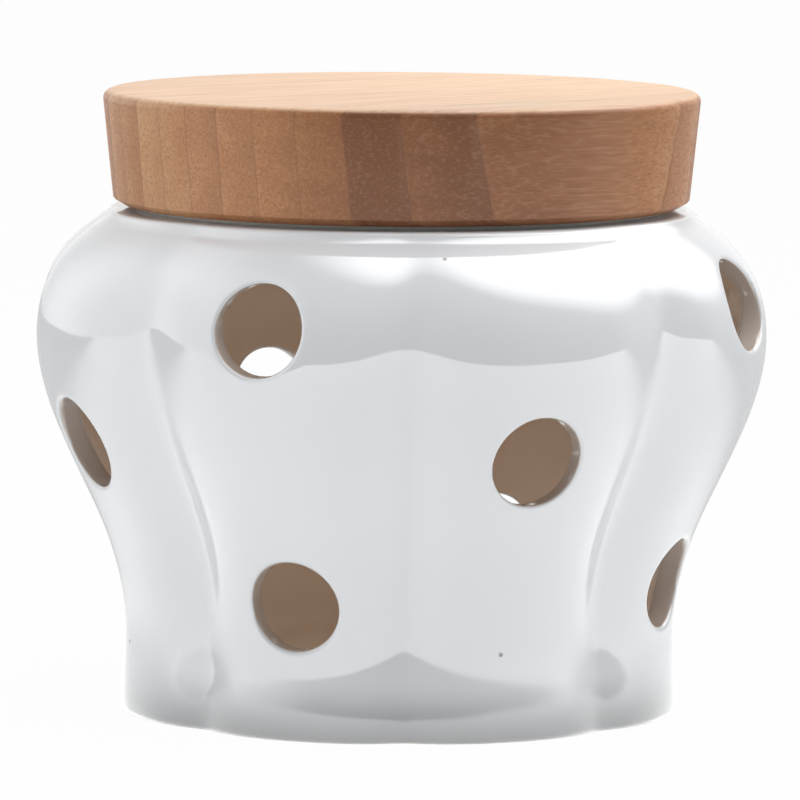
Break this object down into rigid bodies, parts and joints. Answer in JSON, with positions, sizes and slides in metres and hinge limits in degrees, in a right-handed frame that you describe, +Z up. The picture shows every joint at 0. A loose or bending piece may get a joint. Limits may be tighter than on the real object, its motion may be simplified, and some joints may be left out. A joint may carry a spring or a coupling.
{
  "type": "garlic keeper",
  "caption": "Fluted ceramic jar with round vent holes through its lobes, closed by a thick laminated bamboo lid with a sealed plug.",
  "frame": {"origin": "the middle of the foot, on the surface that the jar stands on", "axes": "+Z up along the jar's axis; the front of the jar, as pictured, faces -Y, with a crease between two lobes in the middle of it"},
  "size_m": [0.1292, 0.1292, 0.11],
  "materials": {
    "glaze": "gloss",
    "bamboo": "satin",
    "silicone": "matt"
  },
  "bodies": {
    "jar": {"ceramic_body": "glaze"},
    "lid": {"lid_strip_01": "bamboo", "lid_strip_02": "bamboo", "lid_strip_03": "bamboo", "lid_strip_04": "bamboo", "lid_strip_05": "bamboo", "lid_strip_06": "bamboo", "lid_strip_07": "bamboo", "lid_strip_08": "bamboo", "lid_strip_09": "bamboo", "lid_strip_10": "bamboo", "lid_strip_11": "bamboo", "lid_strip_12": "bamboo", "lid_strip_13": "bamboo", "lid_strip_14": "bamboo", "lid_strip_15": "bamboo", "lid_plug": "bamboo", "lid_seal_ring": "silicone"}
  },
  "joints": [
    {"name": "lid_lift", "type": "slide", "parent": "jar", "child": "lid", "axis": [0, 0, 1], "range_m": [0, 0.03]}
  ]
}
